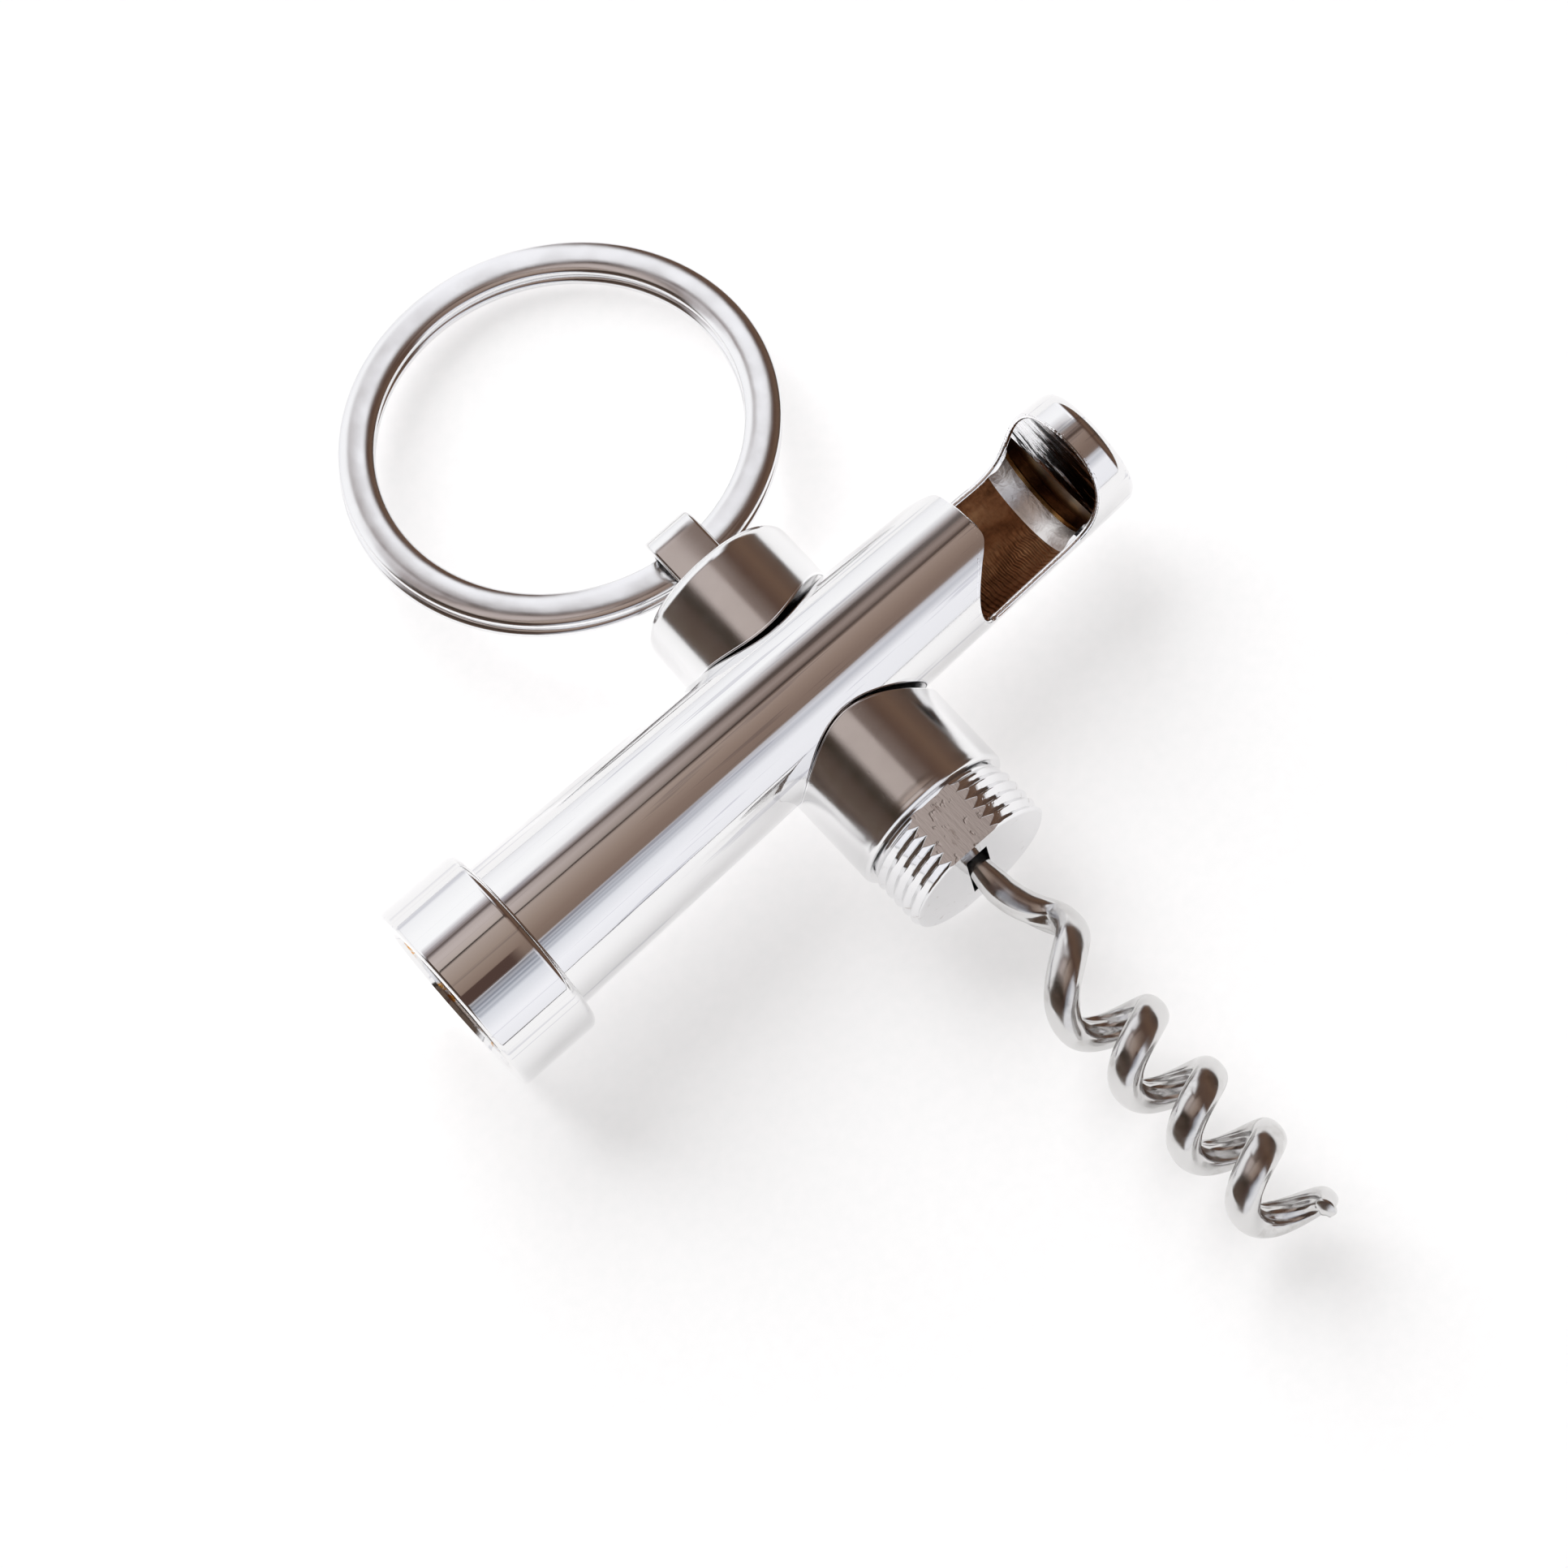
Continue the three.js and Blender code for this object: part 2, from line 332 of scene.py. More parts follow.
def parallel_frames(path, is_closed=False):
    """Directions across a path that don't twist along it."""
    path = np.array(path, float)
    if is_closed:
        along = np.roll(path, -1, 0) - np.roll(path, 1, 0)
    else:
        along = np.gradient(path, axis=0)
    along /= np.linalg.norm(along, axis=1)[:, None]
    side = np.cross(along[0], [0.31, 0.52, 0.79])
    frames = []
    for direction in along:
        side = side - direction * (side @ direction)
        side /= np.linalg.norm(side)
        frames.append((side, np.cross(direction, side)))
    return frames


def circle(radius, sides=12):
    angle = np.linspace(0, 2 * math.pi, sides, endpoint=False)
    return [(radius * math.cos(a), radius * math.sin(a)) for a in angle]


def roll(path, radius, wobble=0.0, sides=12):
    """A thin rounded edge along a closed path."""
    radii = [radius + wobble * random.uniform(-1, 1) for _ in path]
    frames = parallel_frames(path, True)
    return swept(path, frames, lambda i: circle(radii[i], sides), True)


def show(name, solid, materials, body, replaced):
    """Makes the finished piece in metres and hands it to the frame."""
    solid.verts = solid.verts * MM + np.array(ORIGIN)
    mesh = solid.mesh()
    mesh.name = name
    for material in materials:
        mesh.materials.append(material)
    mesh.polygons.foreach_set("material_index", solid.slots)
    piece = bpy.data.objects.new(name, mesh)
    bpy.context.scene.collection.objects.link(piece)
    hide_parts(replaced)
    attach(piece, body)
    return piece


# ---- node graphs ----
class Graph:
    """Short calls for building a node tree."""

    def __init__(self, tree):
        self.tree = tree
        tree.nodes.clear()

    def add(self, kind, inputs=None, **settings):
        node = self.tree.nodes.new(kind)
        for key, value in settings.items():
            setattr(node, key, value)
        for key, value in (inputs or {}).items():
            self.put(node.inputs[key], value)
        return node

    def put(self, socket, value):
        if isinstance(value, bpy.types.NodeSocket):
            self.tree.links.new(value, socket)
        else:
            socket.default_value = value

    def math(self, operation, *values):
        node = self.add("ShaderNodeMath", operation=operation)
        for socket, value in zip(node.inputs, values):
            self.put(socket, value)
        return node.outputs[0]

    def span(self, value, low, high, to_low=0.0, to_high=1.0, smoothly=False):
        kind = "SMOOTHSTEP" if smoothly else "LINEAR"
        node = self.add("ShaderNodeMapRange", interpolation_type=kind, clamp=True)
        for key, number in zip(("Value", "From Min", "From Max", "To Min", "To Max"),
                               (value, low, high, to_low, to_high)):
            self.put(node.inputs[key], number)
        return node.outputs[0]

    def ramp(self, factor, stops, interpolation="LINEAR"):
        node = self.add("ShaderNodeValToRGB", {"Fac": factor})
        node.color_ramp.interpolation = interpolation
        elements = node.color_ramp.elements
        elements[0].position, elements[1].position = stops[0][0], stops[-1][0]
        elements[0].color, elements[1].color = (*stops[0][1], 1), (*stops[-1][1], 1)
        for position, colour in stops[1:-1]:
            elements.new(position).color = (*colour, 1)
        return node.outputs["Color"]

    def mix(self, factor, a, b):
        node = self.add("ShaderNodeMix", data_type="RGBA")
        self.put(node.inputs[0], factor)
        self.put(node.inputs[6], a if isinstance(a, bpy.types.NodeSocket) else (*a, 1))
        self.put(node.inputs[7], b if isinstance(b, bpy.types.NodeSocket) else (*b, 1))
        return node.outputs[2]

    def place(self, scale):
        """Object coordinates in metres, times a scale for each axis."""
        at = self.add("ShaderNodeTexCoord").outputs["Object"]
        node = self.add("ShaderNodeVectorMath", {0: at, 1: scale}, operation="MULTIPLY")
        return node.outputs[0]

    def noise(self, scale, detail=3.0, roughness=0.55):
        node = self.add("ShaderNodeTexNoise", {
            "Vector": self.place(scale), "Scale": 1.0, "Detail": detail, "Roughness": roughness,
        })
        return node.outputs["Fac"]

    def bump(self, height, distance, strength=1.0, under=None):
        node = self.add("ShaderNodeBump", {
            "Height": height, "Distance": distance, "Strength": strength,
        })
        if under is not None:
            self.put(node.inputs["Normal"], under)
        return node.outputs["Normal"]


def srgb(r, g, b):
    """Display values 0 to 255 as linear light."""
    return tuple(
        c / 12.92 if c <= 0.04045 else ((c + 0.055) / 1.055) ** 2.4
        for c in (r / 255, g / 255, b / 255)
    )


def metal(name, colour, roughness, normal=None):
    """A metallic material; colour, roughness and normal are made by functions of the graph."""
    material = bpy.data.materials.new(name)
    material.use_nodes = True
    g = Graph(material.node_tree)
    shader = g.add("ShaderNodeBsdfPrincipled", {"Metallic": 1.0})
    g.put(shader.inputs["Base Color"], colour(g) if callable(colour) else (*colour, 1))
    g.put(shader.inputs["Roughness"], roughness(g) if callable(roughness) else roughness)
    if normal:
        g.put(shader.inputs["Normal"], normal(g))
    output = g.add("ShaderNodeOutputMaterial")
    g.put(output.inputs["Surface"], shader.outputs[0])
    return material


CHROME = (0.87, 0.87, 0.875)


def sheath_chrome():
    """Plated tube, polished lengthwise: long fine draw lines and a few deeper scratches."""
    def normal(g):
        lines = g.noise((18, 2600, 2600), 4, 0.7)
        scratches = g.span(g.noise((9, 900, 900), 2), 0.66, 0.69)
        waves = g.noise((45, 60, 60), 1)
        height = g.math("ADD", lines, g.math("MULTIPLY", scratches, -0.5))
        return g.bump(height, 1.1e-6, 1.0, g.bump(waves, 1.2e-5))

    def roughness(g):
        x = g.add("ShaderNodeSeparateXYZ", {0: g.place((1, 1, 1))}).outputs[0]
        near_mouth = g.span(x, ORIGIN.x - 0.002, ORIGIN.x + 0.010, 0.0, 0.06, smoothly=True)
        polish = g.span(g.noise((30, 1400, 1400), 3), 0.35, 0.7, 0.03, 0.07)
        return g.math("ADD", near_mouth, polish)

    def colour(g):
        lines = g.span(g.noise((8, 1700, 1700), 3), 0.58, 0.66, smoothly=True)
        return g.mix(lines, CHROME, (0.68, 0.68, 0.71))
    return metal("sheath_chrome", colour, roughness, normal)


def head_chrome():
    """Plating over a casting: softer reflections with fine pits."""
    def normal(g):
        grain = g.noise((5200, 5200, 5200), 2)
        pits = g.span(g.noise((1500, 1500, 1500), 1), 0.72, 0.78)
        return g.bump(g.math("SUBTRACT", grain, g.math("MULTIPLY", pits, 2.0)), 1.2e-6)

    def roughness(g):
        return g.span(g.noise((500, 500, 500), 2), 0.3, 0.7, 0.14, 0.19)
    return metal("head_chrome", CHROME, roughness, normal)


def thread_chrome():
    """The stud's thread and moulded flats: bright, scuffed and a little dirty."""
    def normal(g):
        scuffs = g.noise((2600, 350, 900), 4, 0.7)
        dents = g.span(g.noise((1100, 700, 1100), 3), 0.6, 0.66)
        return g.bump(g.math("SUBTRACT", scuffs, dents), 3.5e-6)

    def colour(g):
        dirt = g.span(g.noise((900, 260, 900), 5, 0.7), 0.6, 0.72, smoothly=True)
        return g.mix(g.math("MULTIPLY", dirt, 0.55), (0.85, 0.85, 0.86), (0.3, 0.24, 0.2))
    return metal("thread_chrome", colour, 0.09, normal)


def worn_thread():
    """The collar's inner thread: plating with brass showing through in patches."""
    def colour(g):
        patches = g.span(g.noise((420, 420, 420), 4, 0.7), 0.55, 0.6)
        return g.mix(patches, (0.8, 0.8, 0.8), srgb(225, 165, 85))

    def normal(g):
        return g.bump(g.noise((1600, 900, 900), 4, 0.7), 3e-5)
    return metal("worn_thread", colour, 0.14, normal)


def edge_chrome():
    return metal("edge_chrome", (0.93, 0.93, 0.94), 0.12)


def raw_brass():
    """The unplated bore: dull brown brass with the rings of the drawing tool."""
    def rings(g):
        x = g.add("ShaderNodeSeparateXYZ", {0: g.place((1, 1, 1))}).outputs[0]
        shake = g.math("MULTIPLY", g.noise((300, 500, 500), 2), 0.0007)
        turn = g.math("MULTIPLY", g.math("ADD", x, shake), 2 * math.pi / 0.00046)
        return g.math("SINE", turn)

    def normal(g):
        y = g.add("ShaderNodeSeparateXYZ", {0: g.place((1, 1, 1))}).outputs[1]
        near_side = g.span(y, ORIGIN.y - 0.003, ORIGIN.y + 0.0015, 1, 0.12, smoothly=True)
        marks = g.math("MULTIPLY", rings(g), near_side)
        height = g.math("ADD", marks, g.math("MULTIPLY", g.noise((1500, 700, 700), 3), 1.6))
        return g.bump(height, 9e-5)

    def colour(g):
        stain = g.noise((260, 500, 500), 4, 0.65)
        return g.ramp(stain, [(0.3, srgb(112, 72, 44)), (0.5, srgb(168, 116, 78)),
                              (0.72, srgb(196, 148, 106))])
    return metal("raw_brass", colour, 0.55, normal)


def brass_with_painted_highlight():
    """Brass at the ledge's rim, its base colour made brighter as a painted highlight."""
    def normal(g):
        return g.bump(g.noise((1300, 900, 1300), 3), 3e-5)
    # the bright brass colour here is a painted highlight on the rim
    return metal("brass_with_painted_highlight", srgb(255, 222, 150), 0.16, normal)


def deep_brass():
    """The undercut behind the ledge: stained dark."""
    def colour(g):
        return g.ramp(g.noise((900, 500, 900), 4, 0.65), [
            (0.35, srgb(52, 30, 16)), (0.6, srgb(96, 60, 34)), (0.75, srgb(150, 100, 62))])

    def normal(g):
        return g.bump(g.noise((1500, 700, 1500), 4, 0.6), 3e-5)
    return metal("deep_brass", colour, 0.34, normal)


def ledge_plating():
    """The ledge in the bore, where the plating reached: pale and rippled."""
    def normal(g):
        return g.bump(g.noise((900, 700, 900), 4, 0.6), 1.1e-4)
    return metal("ledge_plating", (0.97, 0.96, 0.95), 0.4, normal)


def milled_plating_painted_reflections():
    """The hook's inner face: plated over the cutter's coarse marks, which run across it. Its
    colour has painted reflections: near-black streaks for the dark bore and white streaks for
    highlights, with a painted highlight that makes it lighter towards the far side.
    """
    def normal(g):
        marks = g.noise((1500, 130, 1500), 5, 0.62)
        steps = g.noise((420, 60, 420), 2)
        return g.bump(marks, 9e-5, 1.0, g.bump(steps, 3e-4))

    def colour(g):
        # near-black and white streaks along the cutter's marks: painted reflections of the dark
        # bore and of highlights
        marks_and_painted_reflections = g.noise((1700, 150, 1700), 5, 0.65)
        y = g.add("ShaderNodeSeparateXYZ", {0: g.place((1, 1, 1))}).outputs[1]
        # painted highlight: the colour is lighter towards the far side
        painted_far_side_highlight = g.span(y, ORIGIN.y + 0.001, ORIGIN.y + 0.005, 0, 0.16, smoothly=True)
        return g.ramp(g.math("ADD", marks_and_painted_reflections, painted_far_side_highlight), [
            (0.44, (0.015, 0.014, 0.014)), (0.52, (0.05, 0.05, 0.052)),
            (0.56, (0.75, 0.76, 0.78)), (0.7, (0.92, 0.92, 0.94))])
    return metal("milled_plating_painted_reflections", colour, 0.14, normal)


def worm_steel():
    """Plated drawn wire."""
    def normal(g):
        lines = g.noise((1500, 900, 1500), 4, 0.65)
        dents = g.noise((330, 330, 330), 1)
        return g.bump(lines, 5e-6, 1.0, g.bump(dents, 2.6e-4))

    def roughness(g):
        return g.span(g.noise((700, 700, 700), 3), 0.3, 0.7, 0.13, 0.26)

    def colour(g):
        stain = g.span(g.noise((420, 420, 420), 4, 0.65), 0.55, 0.75)
        return g.mix(g.math("MULTIPLY", stain, 0.5), (0.7, 0.695, 0.69), (0.36, 0.335, 0.31))
    return metal("worm_steel", colour, roughness, normal)


def ring_nickel():
    """Tumbled flat wire: bright, slightly satin."""
    def normal(g):
        waves = g.bump(g.noise((170, 170, 170), 2), 5e-5)
        return g.bump(g.noise((1800, 1800, 1800), 3), 1.6e-6, 1.0, waves)

    def roughness(g):
        return g.span(g.noise((300, 300, 300), 3), 0.3, 0.7, 0.12, 0.2)
    return metal("ring_nickel", (0.86, 0.86, 0.87), roughness, normal)


# ---- sheath: tapered closed tube with the opener's mouth ----
PLATED, RAW, LEDGE_BAND, RIM_PAINTED_HIGHLIGHT, MILLED, EDGE, STAINED = range(7)  # its material slots
HOOK_FROM = 24.5  # the freshly cut faces past this are the hook's


def sheath_radius(x):
    return SHEATH_RADIUS - TAPER * x


def bore_radius(x):
    return sheath_radius(x) - WALL


def sheath_profile():
    shoulder = sheath_radius(TIP) - TIP_ROUND
    outer = [(TIP, 0), (TIP, shoulder / 2)]
    outer += [(x, r) for x, r in arc((TIP - TIP_ROUND, shoulder), TIP_ROUND, 0, 90, 16)]
    outer += [(x, sheath_radius(x)) for x in np.linspace(TIP - TIP_ROUND - 1, MOUTH_END, 12)]
    start, end = LEDGE
    step = bore_radius(end) - LEDGE_DROP
    inner = [(x, bore_radius(x)) for x in np.linspace(MOUTH_END, start - 0.25, 12)]
    inner += [(start, bore_radius(start) - 0.04), (start + 0.5, step + 0.04), (start + 0.8, step)]
    inner += [(end - 0.35, step), (end, step + 0.06), (end + 0.12, bore_radius(end) - 0.02)]
    return outer + inner + [(BORE_END, bore_radius(BORE_END)), (BORE_END, 0)]


def mouth_outline(margin=0.0):
    """The opener's mouth seen along its cutter, (x, z); margin moves it into the metal."""
    front = [(17.85, 9), (17.85, 5.5)] + quadratic((17.85, 5.35), (17.8, 5.05), (17.3, 4.8), 8)
    front += [(16.2, 4.15)] + quadratic((16.1, 4.08), (13.5, 2.3), (13.5, 0.1))
    front += quadratic((13.5, 0), (13.5, -1.75), (15.0, -1.75))
    hook = quadratic((21.5, -1.75), (25.0, -1.7), (26.2, 0.0))
    hook += quadratic((26.25, 0.06), (27.9, 2.2), (28.3, 5.2))
    line = resample(front + hook + [(28.6, 9)], 0.12)
    along = np.gradient(line, axis=0)
    along /= np.linalg.norm(along, axis=1)[:, None]
    return line + margin * np.stack([along[:, 1], -along[:, 0]], 1)


def leaning(points):
    """From the cutter's own directions to the tube's."""
    x, y, z = np.array(points, float).T
    cos, sin = math.cos(MOUTH_ROLL), math.sin(MOUTH_ROLL)
    return np.stack([x - MOUTH_SKEW * y, cos * y - sin * z, sin * y + cos * z], 1)


def mouth_rim(depth):
    """The edge of the mouth on the wall, as a closed path at that depth in the metal."""
    halves = []
    for direction in (-1, 1):
        half = []
        for x, z in mouth_outline(0.13):
            radius = sheath_radius(x) - depth
            if abs(z) < radius:
                half.append((x, direction * math.sqrt(radius**2 - z**2), z))
        halves.append(half)
    tops = [(h[0], 0, sheath_radius(h[0]) - depth) for h in (halves[0][0], halves[0][-1])]
    loop = [tops[0]] + halves[0] + [tops[1]] + halves[1][::-1]
    return resample(leaning(loop + [loop[0]]), 0.1)[:-1]


def make_sheath():
    cutter = prism(mouth_outline(), 9)
    cutter.verts = leaning(cutter.verts)
    solid = carve(turned(sheath_profile(), "X", 192), smooth(cutter.verts, cutter.faces))
    start, end = LEDGE
    fresh = solid.fresh

    def choose(centre, _):
        x, radius = centre[0], math.hypot(centre[1], centre[2])
        if x > TIP - 0.02:
            return EDGE  # the flat end, where draw lines would show as specks
        if x > BORE_END + 0.1 or radius > bore_radius(x) + 0.01:
            return PLATED
        if x < start - 0.2:
            return RAW
        if x < end - 0.35:
            return LEDGE_BAND
        # the ledge's rim gets brass with a painted highlight; past it, the darker brass
        return RIM_PAINTED_HIGHLIGHT if x < end + 0.15 else STAINED
    solid.paint(choose)
    for i, centre in enumerate(solid.centres()):
        if fresh[i]:
            # the hook's face gets the milled plating, whose colour has painted reflections
            solid.slots[i] = MILLED if centre[0] > HOOK_FROM else EDGE
    rim = roll(mouth_rim(WALL / 2), WALL / 2, 0.012)
    rim.slots = [EDGE] * len(rim.faces)
    materials = [sheath_chrome(), raw_brass(), ledge_plating(), brass_with_painted_highlight(),
                 milled_plating_painted_reflections(), edge_chrome(), deep_brass()]
    show("sheath", joined(solid, rim), materials, "sheath", "sheath_tube")
    return materials


# ---- collar ----
def ridge(turns):
    """Height of a V thread with blunt crests, 0 at the root and 1 at the crest."""
    slope = 1 - np.abs(2 * (turns % 1) - 1)
    return np.minimum(slope * 1.08, 0.94 + 0.06 * slope)


def thread_surface(axis, places, angles, radius_at, flat=None):
    """A threaded surface as rows along the axis; flat cuts it level at +-flat in Z."""
    rows = []
    for along in places:
        radius = radius_at(along, angles)
        if flat is not None:
            radius = np.minimum(radius, flat / np.maximum(np.abs(np.cos(angles)), 1e-6))
        side, up = radius * np.sin(angles), radius * np.cos(angles)
        full = np.full(len(angles), along)
        rows += list(zip(full, side, up) if axis == "X" else zip(side, full, up))
    return rows


def grid_faces(rows, columns):
    return [
        (i * columns + k, i * columns + (k + 1) % columns,
         (i + 1) * columns + (k + 1) % columns, (i + 1) * columns + k)
        for i in range(rows - 1) for k in range(columns)
    ]


def make_collar(materials):
    socket = sheath_radius(MOUTH_END) + 0.02
    bore = THREAD_CREST + 0.1
    stop = MOUTH_END - 0.05
    profile = [(COLLAR_FROM + 0.35, bore), (COLLAR_FROM, bore + 0.3)]
    profile += arc((COLLAR_FROM + 0.35, COLLAR_RADIUS - 0.35), 0.35, 180, 90, 8)
    profile += arc((COLLAR_TO - 0.8, COLLAR_RADIUS - 0.8), 0.8, 90, 0, 14)
    profile += [(COLLAR_TO, socket + 0.1), (COLLAR_TO - 0.1, socket), (stop, socket)]
    shell = turned(profile + [(stop, bore - 0.3)], "X")
    angles = np.linspace(0, 2 * math.pi, 200, endpoint=False)
    places = np.arange(COLLAR_FROM + 0.35, stop, 0.05)

    def radius_at(along, angle):
        fade = np.clip(min(along - places[0], places[-1] - along) / 0.7, 0, 1)
        turns = along / THREAD_PITCH + angle / (2 * math.pi)
        return bore - 0.02 - THREAD_DEPTH * fade * ridge(turns)
    rows = thread_surface("X", places, angles, radius_at)
    thread = smooth(rows, [f[::-1] for f in grid_faces(len(places), len(angles))],
                    math.radians(60))
    inward = sum(float(n[2] * thread.verts[f[0]][2] + n[1] * thread.verts[f[0]][1])
                 for f, n in zip(thread.faces, thread.normals[::4]))
    if inward > 0:
        thread = Solid(thread.verts, [f[::-1] for f in thread.faces],
                       [tuple(-x for x in n) for n in thread.normals])
    thread.slots = [1] * len(thread.faces)
    show("collar", joined(shell, thread), [materials[0], worn_thread()], "sheath",
         "threaded_collar")


# ---- head ----
def head_profile():
    lip = 0.42
    bead = HEAD_RADIUS - lip
    points = [(RELIEF, 0), (RELIEF, THREAD_CREST - 0.65), (FLANGE - 0.62, THREAD_CREST - 0.5)]
    points += arc((FLANGE - 0.12, bead), lip, 200, 90, 12)
    points += [(FLANGE + 0.05, HEAD_RADIUS - 0.03), (FLANGE + 0.25, HEAD_RADIUS)]
    points += [(y, HEAD_RADIUS) for y in np.linspace(FLANGE + 1, CAP_END - CAP_ROUND, 8)]
    points += arc((CAP_END - CAP_ROUND, HEAD_RADIUS - CAP_ROUND), CAP_ROUND, 90, 0, 14)[1:]
    return points + [(CAP_END, 3), (CAP_END, 0)]


def saddle_radius(x):
    return float(np.interp(x, (-HEAD_RADIUS, HEAD_RADIUS), SADDLE_RADIUS))


def saddle_edge(depth):
    """Where the saddle meets the head's outside, a closed path at that depth in the metal."""
    radius = HEAD_RADIUS - depth
    reach = math.acos((-SADDLE_RADIUS[0] - HEAD_Z) / radius)
    half = []
    for turn in np.linspace(-reach, reach, 200):
        x, z = radius * math.sin(turn), HEAD_Z + radius * math.cos(turn)
        half.append((x, math.sqrt(max(saddle_radius(x)**2 - z**2, 0)) + 0.02, z))
    loop = half + [(x, -y, z) for x, y, z in reversed(half)]
    return resample(loop + [loop[0]], 0.12)[:-1]


def stud_angles():
    """Angles round the stud, close together where the flats cut the thread's crests."""
    near, far = math.radians(11), math.radians(28)
    quarter = list(np.linspace(0, near, 4, endpoint=False))
    quarter += list(np.linspace(near, far, 52, endpoint=False))
    quarter += list(np.linspace(far, math.pi / 2, 26, endpoint=False))
    half = quarter + [math.pi - a for a in reversed(quarter[1:])] + [math.pi / 2]
    half = sorted(half)
    return np.array(half + [a + math.pi for a in half])


def make_stud():
    root = THREAD_CREST - THREAD_DEPTH
    places = np.arange(STUD_END, RELIEF + 0.1, 0.03)
    angles = stud_angles()

    def radius_at(along, angle):
        fade = np.clip((RELIEF - 0.1 - along) / 0.5, 0, 1)
        turns = along / THREAD_PITCH - angle / (2 * math.pi)
        radius = root + THREAD_DEPTH * fade * ridge(turns)
        return np.minimum(radius, root + 0.05 + (along - STUD_END) * 1.3)
    rows = thread_surface("Y", places, angles, radius_at, FLAT_HEIGHT)
    faces = grid_faces(len(places), len(angles))
    columns, last = len(angles), (len(places) - 1) * len(angles)
    faces += [tuple(range(columns))[::-1], tuple(range(last, last + columns))]
    solid = outward(smooth(rows, faces, math.radians(24)))
    on_flat = np.abs(solid.verts[:, 2]) > FLAT_HEIGHT - 1e-4
    start = 0
    for face in solid.faces:
        if all(on_flat[i] for i in face):
            up = math.copysign(1, solid.verts[face[0]][2])
            for k in range(len(face)):
                solid.normals[start + k] = (0, 0, up)
        start += len(face)
    wide, high = SLOT
    slot = block((-wide, STUD_END - 1, -high), (wide, STUD_END + 3, high))
    return carve(solid, slot)


def make_head():
    ends = [(x, saddle_radius(x)) for x in (-HEAD_RADIUS, HEAD_RADIUS)]
    saddle = turned([(-12, 0), (-12, ends[0][1])] + ends + [(12, ends[1][1]), (12, 0)], "X")
    body = turned(head_profile(), "Y").moved((0, 0, HEAD_Z))
    body = carve(body, saddle)
    edge = roll(saddle_edge(0.09), 0.11)
    edge.slots = [2] * len(edge.faces)
    stud = make_stud().moved((0, 0, HEAD_Z))
    stud.slots = [1] * len(stud.faces)
    plating = head_chrome()
    show("head", joined(body, edge, stud), [plating, thread_chrome(), edge_chrome()],
         "corkscrew", "corkscrew_head")
    return plating


# ---- worm ----
WIRE_RADIAL = 1.2  # half of the wire's section, across and along the coil's axis
WIRE_AXIAL = 1.5
SHANK_RADIAL = 1.05  # the same for the shank, which fits in the stud's slot...
SHANK_AXIAL = 1.3
SHANK_FLARE = 0.3  # ...and widens by this once it is outside
COIL = 2.9
COIL_OFFSET = -0.75
FIRST_CREST = -28.8
FIRST_HALF_TURN = 6.5
WORM_PITCH = 7.0
WORM_TURNS = 4.15


def helix(angle):
    half_turns = angle / math.pi
    fall = FIRST_HALF_TURN * min(half_turns, 1) + WORM_PITCH / 2 * max(half_turns - 1, 0)
    return np.array([
        COIL_OFFSET + COIL * math.cos(angle),
        FIRST_CREST - fall,
        COIL * math.sin(angle),
    ])


def bezier(a, b, c, d, t):
    return (1 - t) ** 3 * a + 3 * t * (1 - t) ** 2 * b + 3 * t * t * (1 - t) * c + t**3 * d


def worm_path():
    """Points down the wire: the shank, the swing into the coil, then the helix to the tip."""
    shank = np.array([(0, STUD_END + 2.5, 0.3), (0, STUD_END, 0.2), (0, STUD_END - 1.2, 0)])
    start = shank[-1]
    swing = [
        bezier(start, start + (0.1, -3.4, -1.3), helix(0) + (0.3, 1.9, -2.9), helix(0), t)
        for t in np.linspace(0, 1, 40)
    ]
    turns = [helix(a) for a in np.linspace(0, 2 * math.pi * WORM_TURNS, 420)[1:]]
    points = resample(list(shank[:-1]) + swing + turns, 0.16)
    for _ in range(6):
        points[1:-1] = (points[:-2] + 2 * points[1:-1] + points[2:]) / 4
    return points


def make_worm():
    path = worm_path()
    along = np.gradient(path, axis=0)
    along /= np.linalg.norm(along, axis=1)[:, None]
    axis = np.array([COIL_OFFSET, 0, 0])
    frames, total = [], len(path)
    length = np.r_[0, np.cumsum(np.linalg.norm(np.diff(path, axis=0), axis=1))]
    coil_start = next(i for i in range(total) if path[i][1] < FIRST_CREST)
    for place, direction in zip(path, along):
        out = place - axis
        out[1] = 0
        blend = np.clip((STUD_END - 2.5 - place[1]) / (STUD_END - 2.5 - FIRST_CREST), 0, 1)
        blend = blend * blend * (3 - 2 * blend)
        out = out / max(np.linalg.norm(out), 1e-6) * blend + np.array([1.0, 0, 0]) * (1 - blend)
        out -= direction * (out @ direction)
        out /= np.linalg.norm(out)
        frames.append((out, np.cross(direction, out)))

    def section(i):
        left = length[-1] - length[i]
        taper = min(1.0, 0.2 + 0.8 * (left / 9.0) ** 0.6) if left < 9.0 else 1.0
        knob = 0.32 * math.exp(-((left - 0.25) / 0.45) ** 2)
        size = (taper + knob) * (1 if left > 0.02 else 0.55)
        blend = min(1.0, max(0.0, (length[i] - 3.0) / max(length[coil_start] - 3.0, 1)))
        widened = min(1.0, max(0.0, (length[i] - 2.6) / 2.0)) * (1 - blend)
        radial = SHANK_RADIAL + (WIRE_RADIAL - SHANK_RADIAL) * blend + SHANK_FLARE * widened
        axial = SHANK_AXIAL + (WIRE_AXIAL - SHANK_AXIAL) * blend
        points = []
        for turn in np.linspace(0, 2 * math.pi, 40, endpoint=False):
            c, s = math.cos(turn), math.sin(turn)
            power = 0.95 if c > 0 else 1.0
            across = math.copysign(abs(c) ** power, c) * radial
            wide = math.copysign(abs(s) ** 0.92, s) * axial
            if c < 0:
                across *= 1 - 0.14 * math.cos(7 * turn) * blend
            points.append((across * size, wide * size))
        return points
    solid = swept(path, frames, section).moved((0, 0, HEAD_Z))
    show("worm_wire", solid, [worm_steel()], "corkscrew", "worm")


